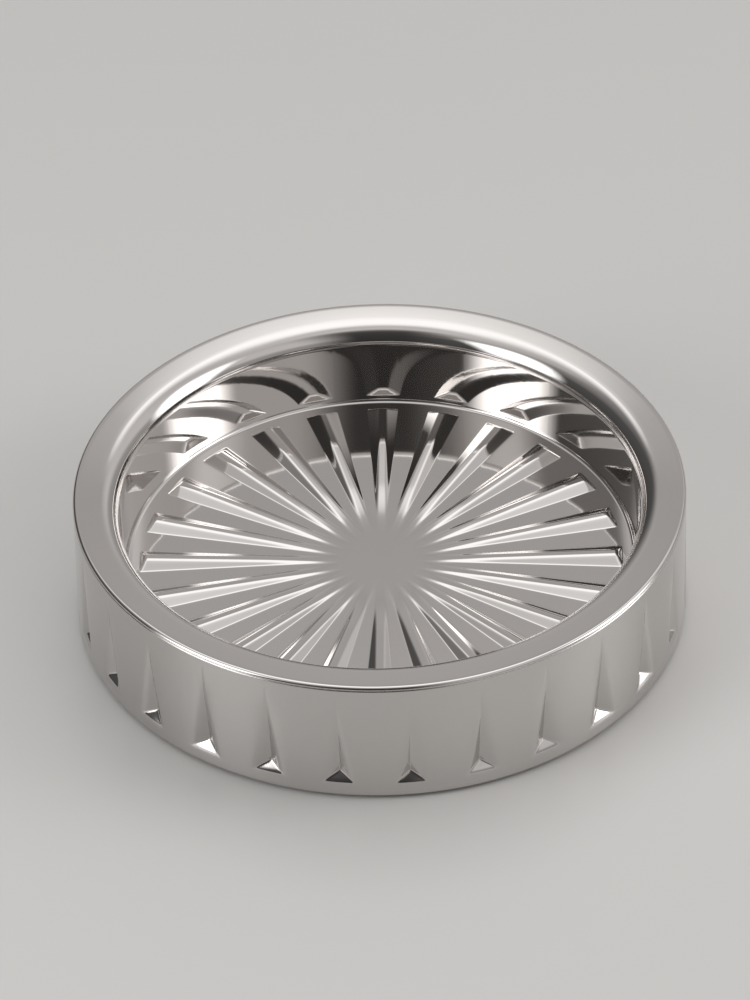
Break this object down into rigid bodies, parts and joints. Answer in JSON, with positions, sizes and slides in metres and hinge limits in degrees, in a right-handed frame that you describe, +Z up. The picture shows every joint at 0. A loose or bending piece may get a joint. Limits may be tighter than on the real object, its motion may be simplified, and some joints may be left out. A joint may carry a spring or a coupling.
{
  "type": "wine bottle coaster",
  "caption": "Round double-walled steel coaster that holds a wine bottle in a ribbed well, with a flat rim, a dimpled outer wall and a rubber foot.",
  "frame": {"origin": "middle of the underside of the rubber foot, on the surface that the coaster stands on", "axes": "+Z up out of the well, +X along one rib of the tray floor"},
  "size_m": [0.15, 0.15, 0.035],
  "materials": {
    "polished_tray_steel": "mirror-polished stainless steel, pressed",
    "polished_shell_steel": "mirror-polished stainless steel, drawn and dimpled",
    "mill_finish_steel": "stainless steel sheet as rolled",
    "foot_rubber": "die-cut matt black rubber sheet"
  },
  "bodies": {
    "root": {"inner_tray": "polished_tray_steel", "outer_shell": "polished_shell_steel", "base_plate": "mill_finish_steel", "rubber_foot": "foot_rubber"}
  },
  "joints": []
}
